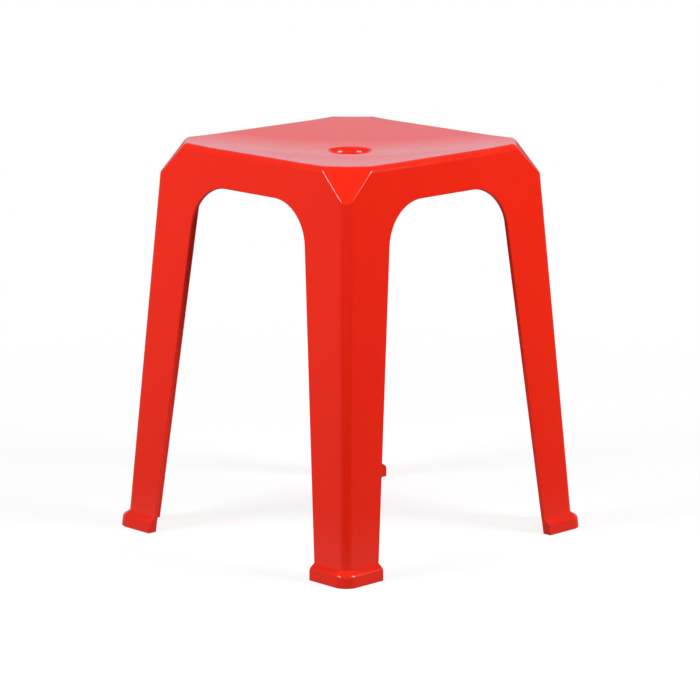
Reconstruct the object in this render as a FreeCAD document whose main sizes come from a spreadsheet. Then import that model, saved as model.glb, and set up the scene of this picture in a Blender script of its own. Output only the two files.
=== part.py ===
import FreeCAD, Part
import math
import os
import re

import Sketcher

# Stacking stool, moulded in one piece, with a shoe pressed on the end of each leg.
# Lengths are in millimetres and angles in degrees. The origin is on the floor under the middle of the seat,
# Z is up, and the four outer sides face along X and Y.

SIZES = (
    ("seat_height", 440, "floor to the crest of the rim at its corners"),
    ("floor_span", 375, "across the shoes at the floor, the same both ways"),
    ("side_draft", 4.075, "lean of every outer side, which lets the stools nest"),
    ("wall", 2.4, "thickness of the sides and legs"),
    ("leg_corner_radius", 9.5, "outer corner of each leg"),
    ("seat_plate", 3, "thickness of the seat"),
    ("dish_slope", 6.2, "slope of the seat's four flanks, down to the middle"),
    ("dish_radius", 700, "rounding of the valleys between the flanks and of the middle"),
    ("rim_radius", 8, "rounding from the seat to a side"),
    ("corner_cut", 40.9, "what each corner facet takes off a side, at seat height"),
    ("facet_lean", 38.7, "lean of a corner facet from the vertical"),
    ("facet_edge_radius", 2.8, "rounding along the two slanting edges of a facet"),
    ("apron_depth", 41.7, "seat height down to the top of an arch"),
    ("leg_arm", 48.7, "width of one arm of a leg at the floor"),
    ("arch_lean", 6.6, "slant of an arch's sides within the face"),
    ("arch_corner_radius", 51.5, "upper corners of an arch"),
    ("arch_chamfer", 0.8, "outer edge of an arch"),
    ("bead_width", 4, "thickened band along the edge of an arch"),
    ("bead_step", 1.2, "how far that band stands in from the wall"),
    ("hole_diameter", 41, "finger hole in the middle of the seat"),
    ("hole_lip", 6.6, "rounding where the seat turns down into the hole"),
    ("collar_wall", 3, "wall of the collar under the finger hole"),
    ("collar_depth", 12, "how far the collar hangs below the seat"),
    ("rib_thickness", 2, "stiffening ribs under the seat"),
    ("rib_depth", 10, "how far the ribs hang below the middle of the seat"),
    ("ring_radius", 82, "round rib, to its middle line"),
    ("stack_pitch", 52, "height that each nested stool adds to a stack"),
    ("web_thickness", 2.4, "stacking web in each corner"),
    ("web_foot", 168, "middle of the stool to the near end of a web's resting edge, along the diagonal"),
    ("web_lean", 24, "lean of a web's free edge from the vertical"),
    ("shoe_height", 17.3, "floor to the crease above a shoe"),
    ("shoe_flare", 7.6, "how far a shoe stands out from the leg at the floor"),
    ("shoe_wall_draft", 6.5, "lean of a shoe's outer wall"),
    ("shoe_shoulder_slope", 32, "fall of a shoe's shoulder from the level"),
    ("shoe_shoulder_radius", 5.5, "rounding between the shoulder and the wall"),
    ("shoe_corner_radius", 17, "outer corner of a shoe at the floor"),
    ("shoe_sole_chamfer", 0.6, "chamfer round the sole"),
    ("shoe_end_chamfer", 0.5, "chamfer on the upright edges at the ends of a shoe"),
    ("shoe_base", 4, "thickness of the sole under the leg"),
    ("shoe_end_wall", 2.5, "wall that closes a shoe at the end of an arm"),
    ("shoe_fit", 0.1, "gap on each side of the leg in its shoe"),
    ("shoe_seam", 0.2, "gap between a shoe's top and the bead that ends above it"),
)
NAMES = {name for name, size, meaning in SIZES}

# Cuts run this far past the plastic that they remove
OVERRUN = 12

doc = FreeCAD.newDocument("stacking_stool")
sheet = doc.addObject("Spreadsheet::Sheet", "sizes")
for row, (name, size, meaning) in enumerate(SIZES, 1):
    sheet.set(f"A{row}", name)
    sheet.set(f"B{row}", str(size))
    sheet.set(f"C{row}", meaning)
    sheet.setAlias(f"B{row}", name)
doc.recompute()


def formula(text):
    """Turn the words of the size table into references to the sheet."""
    return re.sub(r"[a-z_]+", lambda word: f"sizes.{word[0]}" if word[0] in NAMES else word[0], text)


def value(text):
    """Work out a formula as a number."""
    result = sheet.evalExpression(formula(text))
    return float(getattr(result, "Value", result))


def bind(item, **formulas):
    """Tie properties of an object to formulas."""
    for name, text in formulas.items():
        item.setExpression(name, formula(text))


# Where the sides, facets and arches run

def side(height):
    """Middle of the stool to an outer side."""
    return f"(floor_span / 2 - shoe_flare - ({height}) * tan(side_draft))"


def inside(height, depth="wall"):
    """Middle of the stool to a surface that lies a depth inside an outer side."""
    return f"({side(height)} - ({depth}) / cos(side_draft))"


def facet_reach(height, depth="0"):
    """Middle of the stool to a corner facet, along the diagonal."""
    at_seat = f"(2 * {side('seat_height')} - corner_cut) / sqrt(2)"
    return f"({at_seat} + (seat_height - ({height})) * tan(facet_lean) - ({depth}) / cos(facet_lean))"


def up_face(height):
    """Distance up the leaning face for a height above the floor."""
    return f"(({height}) / cos(side_draft))"


def arch_half(up):
    """Half of an arch's width, at a distance up the leaning face."""
    return f"({side('0')} - leg_arm - ({up}) * tan(arch_lean))"


ARCH_TOP = up_face("seat_height - apron_depth")
BEAD_FOOT = up_face("shoe_height + shoe_seam")
BEAD_DEPTH = "(wall + bead_step)"
TONGUE_END = f"({arch_half('0')} + shoe_end_wall)"
BLOCK_TOP = f"(seat_height + {OVERRUN})"
DISH_DEPTH = f"({side('seat_height')} * tan(dish_slope) - dish_radius * (1 / cos(dish_slope) - 1))"


# Sketches

def origin_item(body, role):
    """Return one of a body's own origin planes or axes."""
    return next(item for item in body.Origin.OriginFeatures if item.Role == role)


def new_sketch(body, name, plane, lift="0", turn=None):
    """Start a sketch on an origin plane, lifted along its normal and turned about one of its axes."""
    sketch = body.newObject("Sketcher::SketchObject", name)
    sketch.AttachmentSupport = [(origin_item(body, plane), "")]
    sketch.MapMode = "FlatFace"
    if turn:
        axis, angle = turn
        sketch.AttachmentOffset = FreeCAD.Placement(FreeCAD.Vector(), FreeCAD.Rotation(axis, value(angle)))
        sketch.setExpression("AttachmentOffset.Rotation.Angle", formula(angle))
    sketch.setExpression("AttachmentOffset.Base.z", formula(lift))
    return sketch


def constrain(sketch, kind, places, text, name):
    """Add a dimension whose size is a formula."""
    index = sketch.addConstraint(Sketcher.Constraint(kind, *places, value(text)))
    sketch.renameConstraint(index, name)
    sketch.setExpression(f"Constraints.{name}", formula(text))


def pin(sketch, item, point, across, up, name):
    """Hold a point of a sketch at two formulas measured from the sketch's origin."""
    constrain(sketch, "DistanceX", (-1, 1, item, point), across, f"{name}_across")
    constrain(sketch, "DistanceY", (-1, 1, item, point), up, f"{name}_up")


def rounding(before, corner, after, radius):
    """Return where a rounded corner starts and ends, its centre, and whether it turns left."""
    back = (before - corner).normalize()
    ahead = (after - corner).normalize()
    half_angle = back.getAngle(ahead) / 2
    run = radius / math.tan(half_angle)
    centre = corner + (back + ahead).normalize() * (radius / math.sin(half_angle))
    turns_left = (corner - before).cross(after - corner).z > 0
    return corner + back * run, corner + ahead * run, centre, turns_left


def draw_outline(sketch, corners):
    """Draw a closed outline through corners of (across, up) or (across, up, radius) formulas."""
    points = [FreeCAD.Vector(value(corner[0]), value(corner[1]), 0) for corner in corners]
    count = len(corners)
    rounds = {}
    for i, corner in enumerate(corners):
        if len(corner) == 3:
            rounds[i] = rounding(points[i - 1], points[i], points[(i + 1) % count], value(corner[2]))
    for i in range(count):
        following = (i + 1) % count
        start = rounds[i][1] if i in rounds else points[i]
        end = rounds[following][0] if following in rounds else points[following]
        sketch.addGeometry(Part.LineSegment(start, end))
    for i, corner in enumerate(corners):
        name = f"corner_{i + 1}"
        line_before = (i - 1) % count
        if i not in rounds:
            sketch.addConstraint(Sketcher.Constraint("Coincident", line_before, 2, i, 1))
            pin(sketch, i, 1, corner[0], corner[1], name)
            continue
        entry, leave, centre, turns_left = rounds[i]
        circle = Part.Circle(centre, FreeCAD.Vector(0, 0, 1), value(corner[2]))
        first, last = (entry, leave) if turns_left else (leave, entry)
        arc = sketch.addGeometry(Part.ArcOfCircle(circle, circle.parameter(first), circle.parameter(last)))
        entry_end, leave_end = (1, 2) if turns_left else (2, 1)
        sketch.addConstraint(Sketcher.Constraint("Tangent", line_before, 2, arc, entry_end))
        sketch.addConstraint(Sketcher.Constraint("Tangent", arc, leave_end, i, 1))
        constrain(sketch, "Radius", (arc,), corner[2], f"{name}_radius")
        virtual = sketch.addGeometry(Part.Point(points[i]), True)
        pin(sketch, virtual, 1, corner[0], corner[1], name)
        sketch.addConstraint(Sketcher.Constraint("PointOnObject", virtual, 1, line_before))
        sketch.addConstraint(Sketcher.Constraint("PointOnObject", virtual, 1, i))


def draw_circle(sketch, radius, name):
    """Draw a circle round the sketch's origin."""
    circle = Part.Circle(FreeCAD.Vector(), FreeCAD.Vector(0, 0, 1), value(radius))
    item = sketch.addGeometry(circle)
    sketch.addConstraint(Sketcher.Constraint("Coincident", item, 3, -1, 1))
    constrain(sketch, "Radius", (item,), radius, name)


# Features

def add_feature(body, kind, name, **formulas):
    """Add a feature to a body and tie its sizes to formulas."""
    feature = body.newObject(f"PartDesign::{kind}", name)
    bind(feature, **formulas)
    return feature


def pocket(body, name, sketch, depth, both_ways=False):
    """Cut a sketch's outline into the body, against the sketch's normal or both ways."""
    feature = add_feature(body, "Pocket", name, Length=depth)
    feature.Profile = sketch
    if both_ways:
        feature.SideType = "Symmetric"
    return feature


def pattern(body, name, originals, count):
    """Repeat features round the upright axis and make the pattern count."""
    feature = body.newObject("PartDesign::PolarPattern", name)
    feature.Originals = originals
    feature.Axis = (origin_item(body, "Z_Axis"), [""])
    feature.Angle = 360
    feature.Occurrences = count
    body.Tip = feature
    return feature


def edge_names(shape, edges):
    """Name the edges of a shape that are among the given ones."""
    edges = list(edges)
    return [
        f"Edge{number}"
        for number, edge in enumerate(shape.Edges, 1)
        if any(edge.isSame(other) for other in edges)
    ]


def fillet(body, name, edges, radius):
    """Round edges of the body as it stands."""
    base = body.Tip
    feature = add_feature(body, "Fillet", name, Radius=radius)
    feature.Base = (base, edge_names(base.Shape, edges))
    doc.recompute()


def chamfer(body, name, edges, size):
    """Chamfer edges of the body as it stands."""
    base = body.Tip
    feature = add_feature(body, "Chamfer", name, Size=size)
    feature.Base = (base, edge_names(base.Shape, edges))
    doc.recompute()


def cut_with(body, name, tool):
    """Cut one body out of another."""
    feature = body.newObject("PartDesign::Boolean", name)
    feature.setObjects([tool])
    feature.Type = "Cut"
    doc.recompute()
    return feature


def drafted_block(body, reach, corner_radius, bottom):
    """Pad a square up from a height, lean its four sides and round the four corners between them."""
    sketch = new_sketch(body, f"{body.Name}_outline", "XY_Plane", bottom)
    draw_outline(sketch, [
        (f"-{reach}", f"-{reach}"),
        (reach, f"-{reach}"),
        (reach, reach),
        (f"-{reach}", reach),
    ])
    pad = add_feature(body, "Pad", f"{body.Name}_block", Length=f"{BLOCK_TOP} - ({bottom})")
    pad.Profile = sketch
    doc.recompute()
    uprights = [f"Face{i}" for i, face in enumerate(pad.Shape.Faces, 1) if abs(face.normalAt(0, 0).z) < 0.5]
    draft = add_feature(body, "Draft", f"{body.Name}_draft", Angle="side_draft")
    draft.Base = (pad, uprights)
    draft.NeutralPlane = (origin_item(body, "XY_Plane"), [""])
    doc.recompute()
    leaning = [edge for edge in draft.Shape.Edges if edge.Length > value("seat_height") / 2 and is_upright(edge)]
    fillet(body, f"{body.Name}_corners", leaning, corner_radius)


def is_upright(edge):
    """Tell whether a straight edge runs more up than across."""
    run = edge.Vertexes[-1].Point - edge.Vertexes[0].Point
    return abs(run.z) > math.hypot(run.x, run.y)


def facets(body, depth):
    """Cut the flat facet off each corner of the seat."""
    low = "(seat_height - corner_cut * 2)"
    far = f"({facet_reach(low, depth)} + {OVERRUN})"
    sketch = new_sketch(body, f"{body.Name}_facet_outline", "XZ_Plane", turn=(FreeCAD.Vector(0, 1, 0), "45"))
    draw_outline(sketch, [
        (facet_reach(low, depth), low),
        (far, low),
        (far, f"({BLOCK_TOP} + {OVERRUN})"),
        (facet_reach(f"({BLOCK_TOP} + {OVERRUN})", depth), f"({BLOCK_TOP} + {OVERRUN})"),
    ])
    cut = pocket(body, f"{body.Name}_facet", sketch, "corner_cut * 6", both_ways=True)
    pattern(body, f"{body.Name}_facets", [cut], 4)
    doc.recompute()


def space_above_dish(name, drop):
    """Make a body of the space above the seat's dish, lowered by a distance.

    The dish is a shallow upturned pyramid with rounded valleys and a rounded middle. It is a smaller pyramid,
    point down, grown by the rounding's radius. The flanks run up to the straight upper corners of the sides.
    """
    reach = f"({side('seat_height')} + {OVERRUN})"
    pyramid = doc.addObject("Part::Wedge", f"{name}_pyramid")
    bind(pyramid, Xmin=f"-{reach}", Xmax=reach, Zmin=f"-{reach}", Zmax=reach, Ymax=f"{reach} * tan(dish_slope)")
    pyramid.Ymin = 0
    for edge_of_tip in ("X2min", "X2max", "Z2min", "Z2max"):
        setattr(pyramid, edge_of_tip, 0)
    tip_down = FreeCAD.Rotation(FreeCAD.Vector(1, 0, 0), -90)
    pyramid.Placement = FreeCAD.Placement(FreeCAD.Vector(), tip_down)
    base = f"seat_height + {OVERRUN} * tan(dish_slope) + dish_radius / cos(dish_slope) - ({drop})"
    pyramid.setExpression("Placement.Base.z", formula(base))
    space = doc.addObject("Part::Offset", f"{name}_space")
    space.Source = pyramid
    bind(space, Value="dish_radius")
    body = doc.addObject("PartDesign::Body", name)
    body.BaseFeature = space
    doc.recompute()
    return body


def rim_edges(shape):
    """Find the edges all round the top of the seat or of the core."""
    top = [face for face in shape.Faces if face.CenterOfMass.z > value("seat_height - apron_depth / 2")]
    flat = [face for face in top if abs(face.normalAt(*middle_of(face)).z) > 0.9]
    edges = [edge for face in flat for edge in face.Edges]
    return [edge for edge in edges if sum(edge.isSame(other) for other in edges) == 1]


def middle_of(face):
    """Return the middle of a face in its own parameters."""
    u_min, u_max, v_min, v_max = face.ParameterRange
    return (u_min + u_max) / 2, (v_min + v_max) / 2


def facet_edges(shape):
    """Find the edges where the facets meet the sides and the leg corners."""
    lean = math.sin(math.radians(value("facet_lean")))
    found = []
    for face in shape.Faces:
        if isinstance(face.Surface, Part.Plane) and abs(abs(face.Surface.Axis.z) - lean) < 0.01:
            found += [edge for edge in face.Edges if edge.BoundBox.ZMin < value("seat_height - rim_radius")]
    return found


def round_rim_and_facets(form):
    """Round the rim and the facets' slanting edges in one go, because they meet at the facets' upper corners."""
    shape = form.Shape
    rim = edge_names(shape, rim_edges(shape))
    slanting = edge_names(shape, facet_edges(shape))
    radii = {name: value("facet_edge_radius") for name in slanting}
    radii.update({name: value("rim_radius") for name in rim})
    rounded = doc.addObject("Part::Fillet", "rounded_form")
    rounded.Base = form
    rounded.Edges = [(int(name.removeprefix("Edge")), radius, radius) for name, radius in radii.items()]
    doc.recompute()
    return rounded


# Seat and legs

def make_core():
    """Make the space inside the stool, with slots where the ribs, webs, collar and beads are left."""
    core = doc.addObject("PartDesign::Body", "core")
    drafted_block(core, inside("0"), "leg_corner_radius - wall", f"-{OVERRUN}")
    facets(core, "wall")
    cut_with(core, "core_ceiling", space_above_dish("ceiling", "seat_plate"))
    chamfer(core, "core_rim", rim_edges(core.Tip.Shape), "(rim_radius - wall) * (2 - sqrt(2))")

    collar = new_sketch(core, "collar_outline", "XY_Plane", "seat_height")
    draw_circle(collar, "hole_diameter / 2 + collar_wall", "collar_radius")
    pocket(core, "collar_slot", collar, f"{DISH_DEPTH} + seat_plate + collar_depth")

    ring = new_sketch(core, "ring_outline", "XY_Plane", "seat_height")
    draw_circle(ring, "ring_radius + rib_thickness / 2", "ring_outside")
    draw_circle(ring, "ring_radius - rib_thickness / 2", "ring_inside")
    pocket(core, "ring_slot", ring, f"{DISH_DEPTH} + seat_plate + rib_depth")

    rib = new_sketch(core, "rib_outline", "XY_Plane", "seat_height")
    far = side("0")
    draw_outline(rib, [
        ("hole_diameter / 2", "-rib_thickness / 2"),
        (far, "-rib_thickness / 2"),
        (far, "rib_thickness / 2"),
        ("hole_diameter / 2", "rib_thickness / 2"),
    ])
    rib_slot = pocket(core, "rib_slot", rib, f"{DISH_DEPTH} + seat_plate + rib_depth")
    pattern(core, "rib_slots", [rib_slot], 8)

    web = new_sketch(core, "web_outline", "XZ_Plane", turn=(FreeCAD.Vector(0, 1, 0), "45"))
    rest = "(seat_height - stack_pitch)"
    corner = f"({side('0')} * sqrt(2))"
    draw_outline(web, [
        ("web_foot", rest),
        (corner, rest),
        (corner, "seat_height"),
        ("web_foot - stack_pitch * tan(web_lean)", "seat_height"),
    ])
    web_slot = pocket(core, "web_slot", web, "web_thickness", both_ways=True)
    pattern(core, "web_slots", [web_slot], 4)

    bead = new_sketch(core, "bead_outline", "XZ_Plane", side("0"), (FreeCAD.Vector(-1, 0, 0), "side_draft"))
    top = f"({ARCH_TOP} + bead_width)"
    low_half = f"({arch_half(BEAD_FOOT)} + bead_width / cos(arch_lean))"
    top_half = f"({arch_half(top)} + bead_width / cos(arch_lean))"
    bead_round = "arch_corner_radius + bead_width"
    draw_outline(bead, [
        (f"-{low_half}", BEAD_FOOT),
        (low_half, BEAD_FOOT),
        (top_half, top, bead_round),
        (f"-{top_half}", top, bead_round),
    ])
    bead_slot = pocket(core, "bead_slot", bead, BEAD_DEPTH)
    pattern(core, "bead_slots", [bead_slot], 4)
    doc.recompute()
    return core


def make_seat_and_legs():
    """Make the one moulding: the outer form less its core, then the arches and the finger hole."""
    form = doc.addObject("PartDesign::Body", "outer_form")
    drafted_block(form, side("0"), "leg_corner_radius", "shoe_base")
    facets(form, "0")
    cut_with(form, "dish", space_above_dish("seat_top", "0"))
    body = doc.addObject("PartDesign::Body", "seat_and_legs")
    body.BaseFeature = round_rim_and_facets(form)
    doc.recompute()
    cut_with(body, "hollow", make_core())

    arch = new_sketch(body, "arch_outline", "XZ_Plane", side("0"), (FreeCAD.Vector(-1, 0, 0), "side_draft"))
    tongue_half = f"({TONGUE_END} + shoe_fit)"
    draw_outline(arch, [
        (f"-{tongue_half}", f"-{OVERRUN}"),
        (tongue_half, f"-{OVERRUN}"),
        (tongue_half, BEAD_FOOT),
        (arch_half(BEAD_FOOT), BEAD_FOOT),
        (arch_half(ARCH_TOP), ARCH_TOP, "arch_corner_radius"),
        (f"-{arch_half(ARCH_TOP)}", ARCH_TOP, "arch_corner_radius"),
        (f"-{arch_half(BEAD_FOOT)}", BEAD_FOOT),
        (f"-{tongue_half}", BEAD_FOOT),
    ])
    opening = pocket(body, "arch", arch, f"{BEAD_DEPTH} * 2")
    pattern(body, "arches", [opening], 4)
    doc.recompute()

    hole = new_sketch(body, "hole_outline", "XY_Plane", "seat_height")
    draw_circle(hole, "hole_diameter / 2", "hole_radius")
    pocket(body, "finger_hole", hole, "apron_depth")
    doc.recompute()
    fillet(body, "hole_lip", hole_top_edges(body.Tip.Shape), "hole_lip")
    chamfer(body, "arch_edges", arch_outer_edges(body.Tip.Shape), "arch_chamfer")
    return body


def hole_top_edges(shape):
    """Find the edge where the finger hole meets the seat."""
    radius = value("hole_diameter / 2")
    level = value(f"seat_height - {DISH_DEPTH} - seat_plate / 2")
    loops = [edge for edge in shape.Edges if edge.isClosed() and edge.BoundBox.ZMin > level]
    return [edge for edge in loops if abs(edge.BoundBox.XMax - radius) < 0.1]


def arch_outer_edges(shape):
    """Find the edges of the four arches that lie in the outer sides."""
    found = []
    for face in shape.Faces:
        if not isinstance(face.Surface, Part.Plane):
            continue
        slope = abs(face.Surface.Axis.z)
        if abs(slope - math.sin(math.radians(value("side_draft")))) > 0.001:
            continue
        middle = face.CenterOfMass
        if abs(max(abs(middle.x), abs(middle.y)) - value(side(f"{middle.z}"))) > 0.05:
            continue
        inset = value("leg_corner_radius") + 1
        for edge in face.Edges:
            point = edge.valueAt((edge.FirstParameter + edge.LastParameter) / 2)
            low = edge.BoundBox.ZMax < value("shoe_height + shoe_seam") + 0.01
            near = min(abs(point.x), abs(point.y)) < value(side(f"{point.z}")) - inset
            under_rim = edge.BoundBox.ZMax < value("seat_height - apron_depth") + 0.01
            if near and under_rim and not low:
                found.append(edge)
    return found


# Shoes

def leg_outline(sketch, height, depth, outside_gap):
    """Draw the L of a leg at a height: its outer side moved out by a gap and its inner side at a depth."""
    outer = f"({side(height)} + {outside_gap})"
    inner = inside(height, depth)
    end = TONGUE_END
    draw_outline(sketch, [
        (end, inner),
        (inner, inner, "leg_corner_radius - wall - shoe_fit"),
        (inner, end),
        (outer, end),
        (outer, outer, "leg_corner_radius + shoe_fit"),
        (end, outer),
    ])


def make_shoe(name, turns):
    """Make the shoe of one leg. It is modelled on the leg between +X and +Y and turned to its place."""
    body = doc.addObject("PartDesign::Body", name)
    path = new_sketch(body, f"{name}_path", "XY_Plane")
    start = f"({arch_half('0')} - {OVERRUN})"
    outer = side("0")
    draw_path(path, start, outer)

    profile = new_sketch(body, f"{name}_profile", "YZ_Plane", start)
    crease = side("shoe_height")
    wall_foot = f"({outer} + shoe_flare)"
    fall = "tan(shoe_shoulder_slope)"
    lean = "tan(shoe_wall_draft)"
    shoulder = f"((shoe_height - ({wall_foot} - {crease}) * {fall}) / (1 - {lean} * {fall}))"
    draw_outline(profile, [
        (inside("0", BEAD_DEPTH), "0"),
        (f"({wall_foot} - shoe_sole_chamfer)", "0"),
        (f"({wall_foot} - shoe_sole_chamfer * {lean})", "shoe_sole_chamfer"),
        (f"({wall_foot} - {shoulder} * {lean})", shoulder, "shoe_shoulder_radius"),
        (crease, "shoe_height"),
        (inside("shoe_height", BEAD_DEPTH), "shoe_height"),
    ])
    sweep = body.newObject("PartDesign::AdditivePipe", f"{name}_sweep")
    sweep.Profile = profile
    sweep.Spine = (path, ["Edge1", "Edge2", "Edge3"])
    doc.recompute()

    for plane, direction in (("XZ_Plane", "front"), ("YZ_Plane", "side")):
        trim = new_sketch(body, f"{name}_{direction}_trim_outline", plane)
        top = "(shoe_height * 2)"
        draw_outline(trim, [
            ("0", f"-{OVERRUN}"),
            (arch_half(up_face(f"-{OVERRUN}")), f"-{OVERRUN}"),
            (arch_half(up_face(top)), top),
            ("0", top),
        ])
        cut = pocket(body, f"{name}_{direction}_trim", trim, "floor_span")
        cut.Reversed = plane == "YZ_Plane"
        doc.recompute()

    chamfer(body, f"{name}_end_edges", filter(is_end_edge, body.Tip.Shape.Edges), "shoe_end_chamfer")

    floor = new_sketch(body, f"{name}_socket_floor", "XY_Plane", "shoe_base")
    leg_outline(floor, "shoe_base", "wall + shoe_fit", "shoe_fit")
    mouth = new_sketch(body, f"{name}_socket_mouth", "XY_Plane", "shoe_height + 1")
    leg_outline(mouth, "shoe_height + 1", "wall + shoe_fit", "shoe_fit")
    socket = body.newObject("PartDesign::SubtractiveLoft", f"{name}_socket")
    socket.Profile = floor
    socket.Sections = [mouth]
    socket.Ruled = True
    doc.recompute()
    body.Placement = FreeCAD.Placement(FreeCAD.Vector(), FreeCAD.Rotation(FreeCAD.Vector(0, 0, 1), 90 * turns))
    return body


def draw_path(sketch, start, outer):
    """Draw the open L along the foot of a leg's two outer sides, with its rounded corner."""
    first = FreeCAD.Vector(value(start), value(outer), 0)
    corner = FreeCAD.Vector(value(outer), value(outer), 0)
    last = FreeCAD.Vector(value(outer), value(start), 0)
    radius = value("shoe_corner_radius - shoe_flare")
    entry, leave, centre, turns_left = rounding(first, corner, last, radius)
    sketch.addGeometry(Part.LineSegment(first, entry))
    circle = Part.Circle(centre, FreeCAD.Vector(0, 0, 1), radius)
    sketch.addGeometry(Part.ArcOfCircle(circle, 0, math.pi / 2))
    sketch.addGeometry(Part.LineSegment(leave, last))
    sketch.addConstraint(Sketcher.Constraint("Tangent", 0, 2, 1, 2))
    sketch.addConstraint(Sketcher.Constraint("Tangent", 1, 1, 2, 1))
    sketch.addConstraint(Sketcher.Constraint("Horizontal", 0))
    sketch.addConstraint(Sketcher.Constraint("Vertical", 2))
    pin(sketch, 0, 1, start, outer, "start")
    pin(sketch, 2, 2, outer, start, "end")
    constrain(sketch, "Radius", (1,), "shoe_corner_radius - shoe_flare", "corner_radius")


def edge_middle(edge):
    """Return the point halfway along an edge."""
    return edge.valueAt((edge.FirstParameter + edge.LastParameter) / 2)


def is_end_edge(edge):
    """Tell whether an edge of a shoe stands outside the leg at the end of an arm."""
    point = edge_middle(edge)
    at_end = abs(min(point.x, point.y) - value(arch_half(up_face(f"{point.z}")))) < 0.05
    outside = max(point.x, point.y) > value(side(f"{point.z}")) + 0.05
    return at_end and outside and edge.BoundBox.ZMax > 0.01


CORNERS = ("shoe_right", "shoe_back", "shoe_left", "shoe_front")
pieces = [make_seat_and_legs()]
pieces += [make_shoe(name, turns) for turns, name in enumerate(CORNERS)]
doc.recompute()

for item in doc.Objects:
    if "Invalid" in item.State or "Error" in item.State:
        raise RuntimeError(f"{item.Label} failed: {item.State}")
    if item.isDerivedFrom("Sketcher::SketchObject") and not item.FullyConstrained:
        raise RuntimeError(f"{item.Label} isn't fully constrained")
    if item.isDerivedFrom("PartDesign::Pocket"):
        removed = item.BaseFeature.Shape.Volume - item.Shape.Volume
        if removed < 1:
            raise RuntimeError(f"{item.Label} cuts nothing")

os.makedirs("parts", exist_ok=True)
for piece in pieces:
    shape = piece.Shape
    if shape.isNull() or not shape.isValid() or len(shape.Solids) != 1:
        raise RuntimeError(f"{piece.Label} isn't one valid solid")
for piece in pieces:
    piece.Shape.exportStep(f"parts/{piece.Label}.step")
    print(f"{piece.Label}: {piece.Shape.Volume / 1000:.1f} cm3, {len(piece.Shape.Faces)} faces")
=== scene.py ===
"""Finish, stage and camera of a square stacking stool of red polypropylene.

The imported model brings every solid: the moulding of seat and legs and its four press-on shoes.
This file gives each one the surface that its mould left on it, and sets the floor, the lamps and
the camera round it.
"""

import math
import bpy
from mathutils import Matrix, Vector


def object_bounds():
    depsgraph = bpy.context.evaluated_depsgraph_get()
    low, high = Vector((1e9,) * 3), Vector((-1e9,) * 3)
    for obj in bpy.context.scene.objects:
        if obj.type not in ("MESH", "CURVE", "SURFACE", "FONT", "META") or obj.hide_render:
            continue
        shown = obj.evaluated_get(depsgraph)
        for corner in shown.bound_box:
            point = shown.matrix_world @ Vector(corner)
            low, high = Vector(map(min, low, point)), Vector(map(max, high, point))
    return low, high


bl_info = {
    "name": "Stacking stool studio",
    "version": (1, 0, 0),
    "blender": (4, 5, 0),
    "location": "3D View > Sidebar > Stool",
    "description": "Gives a stacking stool its moulded plastic surfaces and a plain studio",
    "category": "Object",
}

import bpy
from mathutils import Vector

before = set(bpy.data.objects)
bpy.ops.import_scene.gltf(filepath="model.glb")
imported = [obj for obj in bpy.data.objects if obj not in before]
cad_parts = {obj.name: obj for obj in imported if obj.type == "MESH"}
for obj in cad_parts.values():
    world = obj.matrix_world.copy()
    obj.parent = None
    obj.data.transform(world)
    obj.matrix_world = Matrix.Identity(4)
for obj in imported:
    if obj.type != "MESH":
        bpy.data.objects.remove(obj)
CAD_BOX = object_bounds()

MM = 0.001
MOULDING = "seat_and_legs"
SHOES = sorted(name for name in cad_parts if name.startswith("shoe_"))

# The photograph is square, and Blender's lens is given for a sensor as wide as the picture.
PICTURE_SIDE = 700
SENSOR_WIDTH = 36.0

# What the lens fit found in the photograph, in its pixels.
PHOTO_FOCAL_LENGTH = 3482.2
PHOTO_AXIS_ROW = 355.4

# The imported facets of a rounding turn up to 17 degrees from one to the next. Real edges turn more.
SHARP_ANGLE = math.radians(24)

# Vertices nearer to each other than this are one vertex that two patches share.
SAME_PLACE = 0.001 * MM

# Typical refractive indices of the two plastics.
POLYPROPYLENE_IOR = 1.49
POLYETHYLENE_IOR = 1.51

# The shoes mirror less than the shader's usual 0.5, as satin does. Matched to the photograph.
SATIN_SPECULAR = 0.36

# How much rougher a palm's haze and a floor's rubbing leave the plastic.
HAZE_ROUGHENS = 0.05
FLOOR_RUB_ROUGHENS = 0.25

# The core's draw marks. Real ones lie closer together, and these are drawn this far apart so that
# they show.
DRAW_MARK_PITCH = 1.2 * MM
DRAW_MARK_LENGTH = 60 * MM
DRAW_MARK_DEPTH = 0.05 * MM

# Spacing of the darker blotches in the shoes' colour and of the card's fibres, which are drawn
# coarse enough to show.
BLOTCH_PITCH = 14 * MM
FIBRE_PITCH = 3 * MM

# A face is upright or leans over while its normal's upward part is below the first of these, and
# it looks down below the second. It looks in while its normal's outward part, times its distance
# from the stool's axis in metres, is below the third.
UPRIGHT_BELOW = 0.35
DOWNWARD_BELOW = -0.35
INWARD_BELOW = -0.01

# The floor's painted glow in the stool's reflections, with distances from the stool's axis in
# metres. It has its near level up to the first distance and its far level past the second.
FLOOR_NEAR_END = 0.25
FLOOR_FAR_START = 0.6

# Those levels are multiplied by these shares at this distance to the left and right, and by one
# that falls from 1 to the front share between the last two distances towards the camera.
FLOOR_SIDE_REACH = 1.2
FLOOR_LEFT_SHARE = 1.45
FLOOR_RIGHT_SHARE = 0.65
FLOOR_FRONT_SHARE = 0.2
FLOOR_FRONT_START = 0.4
FLOOR_FRONT_END = 1.1

# The backdrop in the stool's reflections: the cosine of the angle from its middle within which it
# is whole, what is left of its level at its foot, and how high that foot reaches and how soft the
# upper edge is, both in degrees.
BACKDROP_WHOLE = 0.7
BACKDROP_FOOT_SHARE = 0.85
BACKDROP_FOOT_HEIGHT = 8.0
BACKDROP_EDGE_SOFTNESS = 5.0

WHITE = (1.0, 1.0, 1.0, 1.0)


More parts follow.
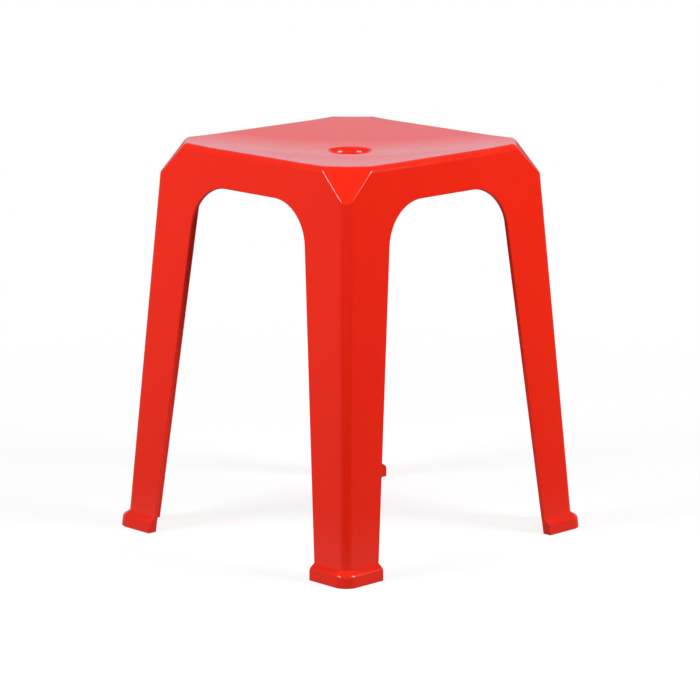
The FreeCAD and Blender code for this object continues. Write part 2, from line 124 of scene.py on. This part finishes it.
def linear(hex_colour):
    """An sRGB hex colour as the linear RGBA that a shader's socket takes."""
    channels = [int(hex_colour[i : i + 2], 16) / 255 for i in (0, 2, 4)]
    lit = [c / 12.92 if c <= 0.04045 else ((c + 0.055) / 1.055) ** 2.4 for c in channels]
    return (*lit, 1.0)


def add_node(tree, kind, settings=None, inputs=None):
    """Adds a node, sets its choices, and fills its sockets with values or other nodes' outputs."""
    made = tree.nodes.new(kind)
    for name, choice in (settings or {}).items():
        setattr(made, name, choice)
    for name, value in (inputs or {}).items():
        if isinstance(value, bpy.types.NodeSocket):
            tree.links.new(value, made.inputs[name])
        else:
            made.inputs[name].default_value = value
    return made


def new_material(name):
    """An empty node material with its output node."""
    material = bpy.data.materials.new(name)
    material.use_nodes = True
    material.node_tree.nodes.clear()
    output = add_node(material.node_tree, "ShaderNodeOutputMaterial")
    return material, material.node_tree, output


def per_metre(spacing):
    """A noise texture's scale for features this far apart, because it has about one per unit."""
    return 1.0 / spacing


def background_rays(tree, path):
    """1 for the rays that see the background itself: the camera's, and those through glass."""
    seen = add_node(
        tree,
        "ShaderNodeMath",
        {"operation": "MAXIMUM"},
        {0: path.outputs["Is Camera Ray"], 1: path.outputs["Is Transmission Ray"]},
    )
    return seen.outputs[0]


def flowing_normals(node):
    """Joins a node's patches for the eye, so that rounded surfaces flow into the flat ones.

    Edges that turn more than a rounding's facets stay sharp, and no shape changes.
    """
    group = bpy.data.node_groups.new("flowing_normals", "GeometryNodeTree")
    group.interface.new_socket("Geometry", in_out="INPUT", socket_type="NodeSocketGeometry")
    group.interface.new_socket("Geometry", in_out="OUTPUT", socket_type="NodeSocketGeometry")
    start = add_node(group, "NodeGroupInput")
    plain = add_node(
        group,
        "GeometryNodeRemoveAttribute",
        None,
        {"Geometry": start.outputs[0], "Name": "custom_normal"},
    )
    joined = add_node(
        group,
        "GeometryNodeMergeByDistance",
        None,
        {"Geometry": plain.outputs[0], "Distance": SAME_PLACE},
    )
    smooth = add_node(
        group,
        "GeometryNodeSetShadeSmooth",
        {"domain": "FACE"},
        {"Geometry": joined.outputs[0], "Shade Smooth": True},
    )
    bend = add_node(group, "GeometryNodeInputMeshEdgeAngle")
    sharp = add_node(
        group,
        "FunctionNodeCompare",
        {"data_type": "FLOAT", "operation": "GREATER_THAN"},
        {0: bend.outputs["Unsigned Angle"], 1: SHARP_ANGLE},
    )
    edged = add_node(
        group,
        "GeometryNodeSetShadeSmooth",
        {"domain": "EDGE"},
        {"Geometry": smooth.outputs[0], "Selection": sharp.outputs[0], "Shade Smooth": False},
    )
    end = add_node(group, "NodeGroupOutput")
    group.links.new(edged.outputs[0], end.inputs[0])
    node.modifiers.new("flowing_normals", "NODES").node_group = group
    weighted = node.modifiers.new("weighted_normals", "WEIGHTED_NORMAL")
    weighted.mode = "FACE_AREA"
    weighted.weight = 50
    weighted.keep_sharp = True


def core_side_mask(tree):
    """1 on the faces that the mould's core made, which look in or down, and 0 on the outside.

    The dish of the seat leans inwards too, but it looks up, so it stays 0.
    """
    place = add_node(tree, "ShaderNodeNewGeometry")
    outward = add_node(
        tree,
        "ShaderNodeVectorMath",
        {"operation": "MULTIPLY"},
        {0: place.outputs["Position"], 1: (1, 1, 0)},
    )
    facing = add_node(
        tree,
        "ShaderNodeVectorMath",
        {"operation": "DOT_PRODUCT"},
        {0: outward.outputs[0], 1: place.outputs["Normal"]},
    )
    looks_in = add_node(
        tree,
        "ShaderNodeMath",
        {"operation": "LESS_THAN"},
        {0: facing.outputs["Value"], 1: INWARD_BELOW},
    )
    upward = add_node(tree, "ShaderNodeSeparateXYZ", None, {0: place.outputs["Normal"]})
    upright = add_node(
        tree,
        "ShaderNodeMath",
        {"operation": "LESS_THAN"},
        {0: upward.outputs["Z"], 1: UPRIGHT_BELOW},
    )
    inner = add_node(
        tree,
        "ShaderNodeMath",
        {"operation": "MULTIPLY"},
        {0: looks_in.outputs[0], 1: upright.outputs[0]},
    )
    looks_down = add_node(
        tree,
        "ShaderNodeMath",
        {"operation": "LESS_THAN"},
        {0: upward.outputs["Z"], 1: DOWNWARD_BELOW},
    )
    either = add_node(
        tree,
        "ShaderNodeMath",
        {"operation": "MAXIMUM"},
        {0: inner.outputs[0], 1: looks_down.outputs[0]},
    )
    return either.outputs[0]


def polished_polypropylene(finish):
    """Polypropylene homopolymer, injection moulded in a polished cavity and on a machined core.

    The cavity gives the outside a wet gloss with the faint orange peel of the melt freezing on the
    steel, and the pigment streams away from the gate in the middle of the seat as slightly deeper
    and lighter rays. The core leaves the inside dull, with fine marks along the way in which it is
    drawn out.
    """
    material, tree, output = new_material("polypropylene_polished_moulding")
    place = add_node(tree, "ShaderNodeTexCoord").outputs["Object"]
    core = core_side_mask(tree)

    # Pigment streams: long rays from the gate, drawn in polar coordinates round the hole.
    polar = add_node(tree, "ShaderNodeTexGradient", {"gradient_type": "RADIAL"}, {"Vector": place})
    radius = add_node(tree, "ShaderNodeVectorMath", {"operation": "LENGTH"}, {0: place})
    rays = add_node(
        tree,
        "ShaderNodeCombineXYZ",
        None,
        {"X": polar.outputs["Fac"], "Y": radius.outputs["Value"], "Z": 0.0},
    )
    stretch = add_node(
        tree,
        "ShaderNodeVectorMath",
        {"operation": "MULTIPLY"},
        {0: rays.outputs[0], 1: (finish.pigment_rays, 1.0 / finish.pigment_reach, 1.0)},
    )
    pigment = add_node(
        tree,
        "ShaderNodeTexNoise",
        {"noise_dimensions": "2D"},
        {"Vector": stretch.outputs[0], "Scale": 1.0, "Detail": 3.0, "Roughness": 0.55},
    )
    pigment_share = add_node(
        tree,
        "ShaderNodeMapRange",
        None,
        {"Value": pigment.outputs["Fac"], "From Min": 0.25, "From Max": 0.75},
    )
    colour = add_node(
        tree,
        "ShaderNodeMix",
        {"data_type": "RGBA"},
        {0: pigment_share.outputs[0], 6: linear(finish.colour), 7: linear(finish.deep_colour)},
    )

    # Handling haze: patches a few centimetres across where palms have dulled the gloss a little.
    haze = add_node(
        tree,
        "ShaderNodeTexNoise",
        None,
        {
            "Vector": place,
            "Scale": per_metre(finish.haze_patch),
            "Detail": 4.0,
            "Roughness": 0.6,
        },
    )
    gloss = add_node(
        tree,
        "ShaderNodeMapRange",
        None,
        {
            "Value": haze.outputs["Fac"],
            "From Min": 0.3,
            "From Max": 0.7,
            "To Min": finish.roughness,
            "To Max": finish.roughness + HAZE_ROUGHENS,
        },
    )
    roughness = add_node(
        tree,
        "ShaderNodeMix",
        {"data_type": "FLOAT"},
        {0: core, 2: gloss.outputs[0], 3: finish.core_roughness},
    )

    # Orange peel: shallow dimples, then the wider swell of a wall that shrank unevenly.
    peel = add_node(
        tree,
        "ShaderNodeTexNoise",
        None,
        {
            "Vector": place,
            "Scale": per_metre(finish.peel_pitch),
            "Detail": 1.0,
            "Roughness": 0.4,
        },
    )
    swell = add_node(
        tree,
        "ShaderNodeTexNoise",
        None,
        {"Vector": place, "Scale": per_metre(finish.swell_pitch), "Detail": 0.0},
    )
    swell_bump = add_node(
        tree,
        "ShaderNodeBump",
        None,
        {"Strength": 1.0, "Distance": finish.swell_depth, "Height": swell.outputs["Fac"]},
    )
    peel_bump = add_node(
        tree,
        "ShaderNodeBump",
        None,
        {
            "Strength": 1.0,
            "Distance": finish.peel_depth,
            "Height": peel.outputs["Fac"],
            "Normal": swell_bump.outputs[0],
        },
    )

    # Draw marks: fine upright lines, on the core side alone.
    across = per_metre(DRAW_MARK_PITCH)
    draw_lines = add_node(
        tree,
        "ShaderNodeVectorMath",
        {"operation": "MULTIPLY"},
        {0: place, 1: (across, across, per_metre(DRAW_MARK_LENGTH))},
    )
    draw_marks = add_node(
        tree,
        "ShaderNodeTexNoise",
        None,
        {"Vector": draw_lines.outputs[0], "Scale": 1.0, "Detail": 2.0},
    )
    marks_height = add_node(
        tree,
        "ShaderNodeMath",
        {"operation": "MULTIPLY"},
        {0: draw_marks.outputs["Fac"], 1: core},
    )
    marks_bump = add_node(
        tree,
        "ShaderNodeBump",
        None,
        {
            "Strength": 1.0,
            "Distance": DRAW_MARK_DEPTH,
            "Height": marks_height.outputs[0],
            "Normal": peel_bump.outputs[0],
        },
    )

    shader = add_node(
        tree,
        "ShaderNodeBsdfPrincipled",
        None,
        {
            "Base Color": colour.outputs[2],
            "Roughness": roughness.outputs[0],
            "IOR": POLYPROPYLENE_IOR,
            "Normal": marks_bump.outputs[0],
        },
    )
    tree.links.new(shader.outputs[0], output.inputs["Surface"])
    return material


def satin_polyethylene(finish):
    """Low-density polyethylene, injection moulded against a finely eroded steel.

    It is softer than the stool, so it has a waxy gloss with a fine even grain, and the sole's edge
    is dulled by floors.
    """
    material, tree, output = new_material("polyethylene_satin_moulding")
    place = add_node(tree, "ShaderNodeTexCoord").outputs["Object"]

    blotches = add_node(
        tree,
        "ShaderNodeTexNoise",
        None,
        {"Vector": place, "Scale": per_metre(BLOTCH_PITCH), "Detail": 3.0},
    )
    colour = add_node(
        tree,
        "ShaderNodeMix",
        {"data_type": "RGBA"},
        {0: blotches.outputs["Fac"], 6: linear(finish.colour), 7: linear(finish.deep_colour)},
    )

    # Wear: the lowest millimetres rub on the floor.
    height = add_node(tree, "ShaderNodeSeparateXYZ", None, {0: place})
    wear = add_node(
        tree,
        "ShaderNodeMapRange",
        None,
        {
            "Value": height.outputs["Z"],
            "From Min": finish.wear_height,
            "From Max": 0.0,
            "To Min": finish.roughness,
            "To Max": finish.roughness + FLOOR_RUB_ROUGHENS,
        },
    )
    grain = add_node(
        tree,
        "ShaderNodeTexNoise",
        None,
        {"Vector": place, "Scale": per_metre(finish.grain_pitch), "Detail": 2.0},
    )
    grain_bump = add_node(
        tree,
        "ShaderNodeBump",
        None,
        {"Strength": 1.0, "Distance": finish.grain_depth, "Height": grain.outputs["Fac"]},
    )
    shader = add_node(
        tree,
        "ShaderNodeBsdfPrincipled",
        None,
        {
            "Base Color": colour.outputs[2],
            "Roughness": wear.outputs[0],
            "IOR": POLYETHYLENE_IOR,
            "Specular IOR Level": SATIN_SPECULAR,
            "Normal": grain_bump.outputs[0],
        },
    )
    tree.links.new(shader.outputs[0], output.inputs["Surface"])
    return material


def pale_studio_floor(stage):
    """Matt card: an even, dull, pale sheet that takes the stool's soft shadow near its feet.

    The camera sees it as white. Glossy rays see a painted reflection instead: the card glows at its
    own dimmer levels, with a painted pool of light round the feet.
    """
    material, tree, output = new_material("matt_card_floor")
    place = add_node(tree, "ShaderNodeTexCoord").outputs["Object"]
    fibres = add_node(
        tree,
        "ShaderNodeTexNoise",
        None,
        {"Vector": place, "Scale": per_metre(FIBRE_PITCH), "Detail": 3.0},
    )
    colour = add_node(
        tree,
        "ShaderNodeMix",
        {"data_type": "RGBA"},
        {0: fibres.outputs["Fac"], 6: linear("8C8C8C"), 7: linear("929292")},
    )
    card = add_node(tree, "ShaderNodeBsdfDiffuse", None, {"Color": colour.outputs[2]})

    # Painted reflection: in the stool's reflections the card glows instead of being lit. It is
    # palest round its feet, paler on the left than on the right, and dark towards the camera.
    distance = add_node(tree, "ShaderNodeVectorMath", {"operation": "LENGTH"}, {0: place})
    painted_glow_by_distance = add_node(
        tree,
        "ShaderNodeMapRange",
        {"interpolation_type": "SMOOTHSTEP"},
        {
            "Value": distance.outputs["Value"],
            "From Min": FLOOR_NEAR_END,
            "From Max": FLOOR_FAR_START,
            "To Min": stage.floor_level_near,
            "To Max": stage.floor_level_far,
        },
    )
    azimuth = math.radians(stage.camera_azimuth)
    rightward = add_node(
        tree,
        "ShaderNodeVectorMath",
        {"operation": "DOT_PRODUCT"},
        {0: place, 1: (math.cos(azimuth), math.sin(azimuth), 0.0)},
    )
    side = add_node(
        tree,
        "ShaderNodeMapRange",
        {"interpolation_type": "SMOOTHSTEP"},
        {
            "Value": rightward.outputs["Value"],
            "From Min": -FLOOR_SIDE_REACH,
            "From Max": FLOOR_SIDE_REACH,
            "To Min": FLOOR_LEFT_SHARE,
            "To Max": FLOOR_RIGHT_SHARE,
        },
    )
    nearer = add_node(
        tree,
        "ShaderNodeVectorMath",
        {"operation": "DOT_PRODUCT"},
        {0: place, 1: (math.sin(azimuth), -math.cos(azimuth), 0.0)},
    )
    front = add_node(
        tree,
        "ShaderNodeMapRange",
        {"interpolation_type": "SMOOTHSTEP"},
        {
            "Value": nearer.outputs["Value"],
            "From Min": FLOOR_FRONT_START,
            "From Max": FLOOR_FRONT_END,
            "To Min": 1.0,
            "To Max": FLOOR_FRONT_SHARE,
        },
    )
    painted_glow_sided = add_node(
        tree,
        "ShaderNodeMath",
        {"operation": "MULTIPLY"},
        {0: painted_glow_by_distance.outputs[0], 1: side.outputs[0]},
    )
    painted_reflection_glow = add_node(
        tree,
        "ShaderNodeMath",
        {"operation": "MULTIPLY"},
        {0: painted_glow_sided.outputs[0], 1: front.outputs[0]},
    )
    # The painted glow that glossy rays see in place of the lit card.
    reflected = add_node(
        tree,
        "ShaderNodeEmission",
        None,
        {"Color": WHITE, "Strength": painted_reflection_glow.outputs[0]},
    )

    # The camera sees a white that keeps part of the shading near the stool and none far off.
    shaded = add_node(tree, "ShaderNodeBsdfDiffuse", None, {"Color": WHITE})
    white = add_node(tree, "ShaderNodeEmission", None, {"Color": WHITE, "Strength": 1.0})
    share = add_node(
        tree,
        "ShaderNodeMapRange",
        {"interpolation_type": "SMOOTHSTEP"},
        {
            "Value": distance.outputs["Value"],
            "From Min": stage.shadow_reach / 3,
            "From Max": stage.shadow_reach,
            "To Min": stage.shadow_share,
            "To Max": 0.0,
        },
    )
    washed = add_node(
        tree,
        "ShaderNodeMixShader",
        None,
        {"Fac": share.outputs[0], 1: white.outputs[0], 2: shaded.outputs[0]},
    )
    path = add_node(tree, "ShaderNodeLightPath")
    unseen = add_node(
        tree,
        "ShaderNodeMixShader",
        None,
        {"Fac": path.outputs["Is Glossy Ray"], 1: card.outputs[0], 2: reflected.outputs[0]},
    )
    surface = add_node(
        tree,
        "ShaderNodeMixShader",
        None,
        {"Fac": background_rays(tree, path), 1: unseen.outputs[0], 2: washed.outputs[0]},
    )

    # Looked at from below, the sheet isn't there, so that it doesn't hide the ribs and the soles.
    side_seen = add_node(tree, "ShaderNodeNewGeometry")
    from_below = add_node(
        tree,
        "ShaderNodeMath",
        {"operation": "MULTIPLY"},
        {0: side_seen.outputs["Backfacing"], 1: path.outputs["Is Camera Ray"]},
    )
    clear = add_node(tree, "ShaderNodeBsdfTransparent")
    sheet = add_node(
        tree,
        "ShaderNodeMixShader",
        None,
        {"Fac": from_below.outputs[0], 1: surface.outputs[0], 2: clear.outputs[0]},
    )
    tree.links.new(sheet.outputs[0], output.inputs["Surface"])
    return material


def studio_world(stage):
    """A white room for the camera, a pale backdrop for the reflections, and a low fill light."""
    world = bpy.data.worlds.new("studio")
    world.use_nodes = True
    tree = world.node_tree
    tree.nodes.clear()
    output = add_node(tree, "ShaderNodeOutputWorld")
    direction = add_node(tree, "ShaderNodeTexCoord").outputs["Generated"]

    # The backdrop stands behind the stool, on the far side from the camera. It dims a little at its
    # foot and ends in a soft upper edge.
    azimuth = math.radians(stage.camera_azimuth)
    away = (-math.sin(azimuth), math.cos(azimuth), 0.0)
    towards_backdrop = add_node(
        tree,
        "ShaderNodeVectorMath",
        {"operation": "DOT_PRODUCT"},
        {0: direction, 1: away},
    )
    behind = add_node(
        tree,
        "ShaderNodeMapRange",
        {"interpolation_type": "SMOOTHSTEP"},
        {"Value": towards_backdrop.outputs["Value"], "From Min": 0.0, "From Max": BACKDROP_WHOLE},
    )
    height = add_node(tree, "ShaderNodeSeparateXYZ", None, {0: direction})
    foot = add_node(
        tree,
        "ShaderNodeMapRange",
        {"interpolation_type": "SMOOTHSTEP"},
        {
            "Value": height.outputs["Z"],
            "From Min": 0.0,
            "From Max": math.sin(math.radians(BACKDROP_FOOT_HEIGHT)),
            "To Min": stage.backdrop_level * BACKDROP_FOOT_SHARE,
            "To Max": stage.backdrop_level,
        },
    )
    above = add_node(
        tree,
        "ShaderNodeMapRange",
        {"interpolation_type": "SMOOTHSTEP"},
        {
            "Value": height.outputs["Z"],
            "From Min": math.sin(math.radians(stage.backdrop_top - BACKDROP_EDGE_SOFTNESS)),
            "From Max": math.sin(math.radians(stage.backdrop_top + BACKDROP_EDGE_SOFTNESS)),
        },
    )
    sheet = add_node(
        tree,
        "ShaderNodeMix",
        {"data_type": "FLOAT"},
        {0: above.outputs[0], 2: foot.outputs[0], 3: stage.room_level},
    )
    reflected = add_node(
        tree,
        "ShaderNodeMix",
        {"data_type": "FLOAT"},
        {0: behind.outputs[0], 2: stage.room_level, 3: sheet.outputs[0]},
    )
    path = add_node(tree, "ShaderNodeLightPath")
    lit = add_node(
        tree,
        "ShaderNodeMix",
        {"data_type": "FLOAT"},
        {0: path.outputs["Is Glossy Ray"], 2: stage.fill_level, 3: reflected.outputs[0]},
    )
    strength = add_node(
        tree,
        "ShaderNodeMix",
        {"data_type": "FLOAT"},
        {0: background_rays(tree, path), 2: lit.outputs[0], 3: 1.0},
    )

    # The backdrop's white paper mirrors a little cool, as the photograph shows on the seat.
    paper = add_node(
        tree,
        "ShaderNodeMix",
        {"data_type": "RGBA"},
        {0: path.outputs["Is Glossy Ray"], 6: WHITE, 7: linear("EDF4FF")},
    )
    background = add_node(
        tree,
        "ShaderNodeBackground",
        None,
        {"Color": paper.outputs[2], "Strength": strength.outputs[0]},
    )
    tree.links.new(background.outputs[0], output.inputs["Surface"])
    return world


def level_to_watts(level, distance):
    """The power at which a face turned to an area lamp renders as its colour times this level."""
    return level * math.pi**2 * distance**2


def hang_softbox(name, azimuth, elevation, distance, width, height, level):
    """A soft box at this bearing from the stool, its face turned to the middle of the stool."""
    lamp = bpy.data.lights.new(name, "AREA")
    lamp.shape = "RECTANGLE"
    lamp.size = width
    lamp.size_y = height
    lamp.energy = level_to_watts(level, distance)
    box = bpy.data.objects.new(name, lamp)
    low, high = CAD_BOX
    bearing, rise = math.radians(azimuth), math.radians(elevation)
    level_part = math.cos(rise)
    towards_lamp = Vector(
        (math.sin(bearing) * level_part, -math.cos(bearing) * level_part, math.sin(rise))
    )
    box.location = (low + high) / 2 + towards_lamp * distance
    box.rotation_euler = towards_lamp.to_track_quat("Z", "Y").to_euler()
    bpy.context.scene.collection.objects.link(box)
    return box


class MouldingFinish(bpy.types.PropertyGroup):
    """The surface of the seat and legs."""

    colour: bpy.props.StringProperty(
        name="Colour",
        description="sRGB hex colour of the plastic",
        default="EA2408",
    )
    deep_colour: bpy.props.StringProperty(
        name="Deep colour",
        description="sRGB hex colour where the pigment gathers",
        default="E82007",
    )
    pigment_rays: bpy.props.FloatProperty(
        name="Pigment rays",
        description="How many deeper streams run out from the gate",
        default=22.0,
    )
    pigment_reach: bpy.props.FloatProperty(
        name="Pigment reach",
        description="How far a stream runs before it fades",
        default=0.16,
        unit="LENGTH",
    )
    roughness: bpy.props.FloatProperty(
        name="Roughness",
        description="Roughness of the polished outside",
        default=0.12,
        subtype="FACTOR",
        min=0.0,
        max=1.0,
    )
    core_roughness: bpy.props.FloatProperty(
        name="Core roughness",
        description="Roughness of the inside, which the core made",
        default=0.34,
        subtype="FACTOR",
        min=0.0,
        max=1.0,
    )
    haze_patch: bpy.props.FloatProperty(
        name="Haze patch",
        description="Distance between patches where the gloss is broken",
        default=0.045,
        unit="LENGTH",
    )
    peel_pitch: bpy.props.FloatProperty(
        name="Peel pitch",
        description="Distance between the dimples of the orange peel",
        default=0.0035,
        unit="LENGTH",
        precision=5,
    )
    peel_depth: bpy.props.FloatProperty(
        name="Peel depth",
        description="Depth of the orange peel",
        default=0.000012,
        unit="LENGTH",
        precision=6,
    )
    swell_pitch: bpy.props.FloatProperty(
        name="Swell pitch",
        description="Distance between the broad swells of the wall",
        default=0.055,
        unit="LENGTH",
    )
    swell_depth: bpy.props.FloatProperty(
        name="Swell depth",
        description="Depth of the broad swells",
        default=0.00012,
        unit="LENGTH",
        precision=6,
    )


class ShoeFinish(bpy.types.PropertyGroup):
    """The surface of the four shoes."""

    colour: bpy.props.StringProperty(
        name="Colour",
        description="sRGB hex colour of the shoe",
        default="E62510",
    )
    deep_colour: bpy.props.StringProperty(
        name="Deep colour",
        description="sRGB hex colour of the shoe's darker blotches",
        default="E0210E",
    )
    roughness: bpy.props.FloatProperty(
        name="Roughness",
        description="Roughness of the shoe's wall",
        default=0.2,
        subtype="FACTOR",
        min=0.0,
        max=1.0,
    )
    wear_height: bpy.props.FloatProperty(
        name="Wear height",
        description="How far up from the floor the wall is dulled",
        default=0.004,
        unit="LENGTH",
        precision=4,
    )
    grain_pitch: bpy.props.FloatProperty(
        name="Grain pitch",
        description="Distance between the pits of the eroded grain, drawn coarse enough to show",
        default=0.0014,
        unit="LENGTH",
        precision=5,
    )
    grain_depth: bpy.props.FloatProperty(
        name="Grain depth",
        description="Depth of the eroded grain",
        default=0.000012,
        unit="LENGTH",
        precision=6,
    )


class StudioStage(bpy.types.PropertyGroup):
    """The floor, the lamps and the camera."""

    camera_azimuth: bpy.props.FloatProperty(
        name="Camera azimuth",
        description="Bearing of the camera round the stool, from the front, in degrees",
        default=46.0,
    )
    camera_distance: bpy.props.FloatProperty(
        name="Camera distance",
        description="Distance of the camera from the stool's upright axis",
        default=3.80435,
        unit="LENGTH",
    )
    camera_height: bpy.props.FloatProperty(
        name="Camera height",
        description="Height of the camera over the floor",
        default=1.03243,
        unit="LENGTH",
    )
    camera_pitch: bpy.props.FloatProperty(
        name="Camera pitch",
        description="How far below level the camera looks, in degrees",
        default=12.39,
    )
    floor_size: bpy.props.FloatProperty(
        name="Floor size",
        description="Side of the square floor",
        default=24.0,
        unit="LENGTH",
    )
    shadow_share: bpy.props.FloatProperty(
        name="Shadow share",
        description="How much of the floor's own shading the camera sees",
        default=0.2,
        subtype="FACTOR",
        min=0.0,
        max=1.0,
    )
    shadow_reach: bpy.props.FloatProperty(
        name="Shadow reach",
        description="Distance from the stool's axis past which the camera sees pure white",
        default=1.2,
        unit="LENGTH",
    )
    # The levels of the floor's painted glow, which the stool's reflections see.
    floor_level_near: bpy.props.FloatProperty(
        name="Floor level near",
        description="Brightness of the floor round the feet in the stool's reflections",
        default=0.36,
    )
    floor_level_far: bpy.props.FloatProperty(
        name="Floor level far",
        description="Brightness of the far floor in the stool's reflections",
        default=0.17,
    )
    backdrop_level: bpy.props.FloatProperty(
        name="Backdrop level",
        description="Brightness of the backdrop in the stool's reflections",
        default=0.81,
    )
    backdrop_top: bpy.props.FloatProperty(
        name="Backdrop top",
        description="Angle above level where the backdrop's soft upper edge is, in degrees",
        default=20.5,
    )
    room_level: bpy.props.FloatProperty(
        name="Room level",
        description="Brightness of the rest of the room in the stool's reflections",
        default=0.2,
    )
    left_level: bpy.props.FloatProperty(
        name="Left level",
        description="Level of the left soft box",
        default=0.83,
    )
    right_level: bpy.props.FloatProperty(
        name="Right level",
        description="Level of the right soft box",
        default=0.87,
    )
    back_level: bpy.props.FloatProperty(
        name="Back level",
        description="Level of the low lamp behind the stool, which lights its far sides",
        default=0.5,
    )
    front_level: bpy.props.FloatProperty(
        name="Front level",
        description="Level of the weak lamp over the camera, which softens the near leg's corner",
        default=0.14,
    )
    fill_level: bpy.props.FloatProperty(
        name="Fill level",
        description="Level of the even light from all round",
        default=0.14,
    )


class STOOL_OT_finish_moulding(bpy.types.Operator):
    """Gives the seat and legs their polished polypropylene"""

    bl_idname = "stool.finish_moulding"
    bl_label = "Finish seat and legs"

    def execute(self, context):
        material = polished_polypropylene(context.scene.stool_moulding)
        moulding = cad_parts[MOULDING]
        moulding.material_slots[0].material = material
        flowing_normals(moulding)
        return {"FINISHED"}


class STOOL_OT_finish_shoes(bpy.types.Operator):
    """Gives the four shoes their satin polyethylene"""

    bl_idname = "stool.finish_shoes"
    bl_label = "Finish shoes"

    def execute(self, context):
        material = satin_polyethylene(context.scene.stool_shoes)
        for name in SHOES:
            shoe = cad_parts[name]
            shoe.material_slots[0].material = material
            flowing_normals(shoe)
        return {"FINISHED"}


class STOOL_OT_build_stage(bpy.types.Operator):
    """Lays the floor, hangs the soft boxes and sets the camera"""

    bl_idname = "stool.build_stage"
    bl_label = "Build stage"

    def execute(self, context):
        scene = context.scene
        stage = scene.stool_stage
        scene.view_settings.view_transform = "Standard"
        scene.world = studio_world(stage)

        half = stage.floor_size / 2
        corners = [(-half, -half, 0), (half, -half, 0), (half, half, 0), (-half, half, 0)]
        mesh = bpy.data.meshes.new("floor")
        mesh.from_pydata(corners, [], [(0, 1, 2, 3)])
        mesh.materials.append(pale_studio_floor(stage))
        floor = bpy.data.objects.new("floor", mesh)
        scene.collection.objects.link(floor)

        # The two soft boxes whose mirror images the photograph shows in the near facet's edges.
        hang_softbox(
            "softbox_left",
            azimuth=stage.camera_azimuth - 63,
            elevation=35,
            distance=2.2,
            width=1.0,
            height=1.0,
            level=stage.left_level,
        )
        hang_softbox(
            "softbox_right",
            azimuth=stage.camera_azimuth + 69,
            elevation=35,
            distance=2.2,
            width=0.9,
            height=0.9,
            level=stage.right_level,
        )

        # Two that light the other sides and leave no mirror image of their own.
        back = hang_softbox(
            "softbox_back",
            azimuth=stage.camera_azimuth + 180,
            elevation=4,
            distance=2.4,
            width=1.6,
            height=1.2,
            level=stage.back_level,
        )
        front = hang_softbox(
            "softbox_front",
            azimuth=stage.camera_azimuth,
            elevation=24,
            distance=2.6,
            width=1.6,
            height=1.2,
            level=stage.front_level,
        )
        for box in (back, front):
            box.visible_camera = False
            box.visible_glossy = False

        lens = bpy.data.cameras.new("camera")
        lens.sensor_width = SENSOR_WIDTH
        lens.lens = PHOTO_FOCAL_LENGTH / PICTURE_SIDE * SENSOR_WIDTH
        lens.shift_y = (PHOTO_AXIS_ROW - PICTURE_SIDE / 2) / PICTURE_SIDE
        lens.clip_end = 100.0
        camera = bpy.data.objects.new("camera", lens)
        bearing = math.radians(stage.camera_azimuth)
        camera.location = (
            math.sin(bearing) * stage.camera_distance,
            -math.cos(bearing) * stage.camera_distance,
            stage.camera_height,
        )
        camera.rotation_euler = (math.radians(90 - stage.camera_pitch), 0.0, bearing)
        scene.collection.objects.link(camera)
        scene.camera = camera
        return {"FINISHED"}


class STOOL_PT_panel(bpy.types.Panel):
    """Lists the steps in their order"""

    bl_idname = "STOOL_PT_panel"
    bl_label = "Stacking stool"
    bl_space_type = "VIEW_3D"
    bl_region_type = "UI"
    bl_category = "Stool"

    def draw(self, context):
        for step in STEPS:
            self.layout.operator(step.bl_idname)


STEPS = [STOOL_OT_finish_moulding, STOOL_OT_finish_shoes, STOOL_OT_build_stage]
SETTINGS = {
    "stool_moulding": MouldingFinish,
    "stool_shoes": ShoeFinish,
    "stool_stage": StudioStage,
}


def register():
    for settings in SETTINGS.values():
        bpy.utils.register_class(settings)
    for cls in [*STEPS, STOOL_PT_panel]:
        bpy.utils.register_class(cls)
    for name, settings in SETTINGS.items():
        setattr(bpy.types.Scene, name, bpy.props.PointerProperty(type=settings))


def unregister():
    for name in SETTINGS:
        delattr(bpy.types.Scene, name)
    for cls in reversed([*SETTINGS.values(), *STEPS, STOOL_PT_panel]):
        bpy.utils.unregister_class(cls)


def main():
    """Runs every step."""
    register()
    bpy.ops.stool.finish_moulding()
    bpy.ops.stool.finish_shoes()
    bpy.ops.stool.build_stage()


if __name__ == "__main__":
    main()
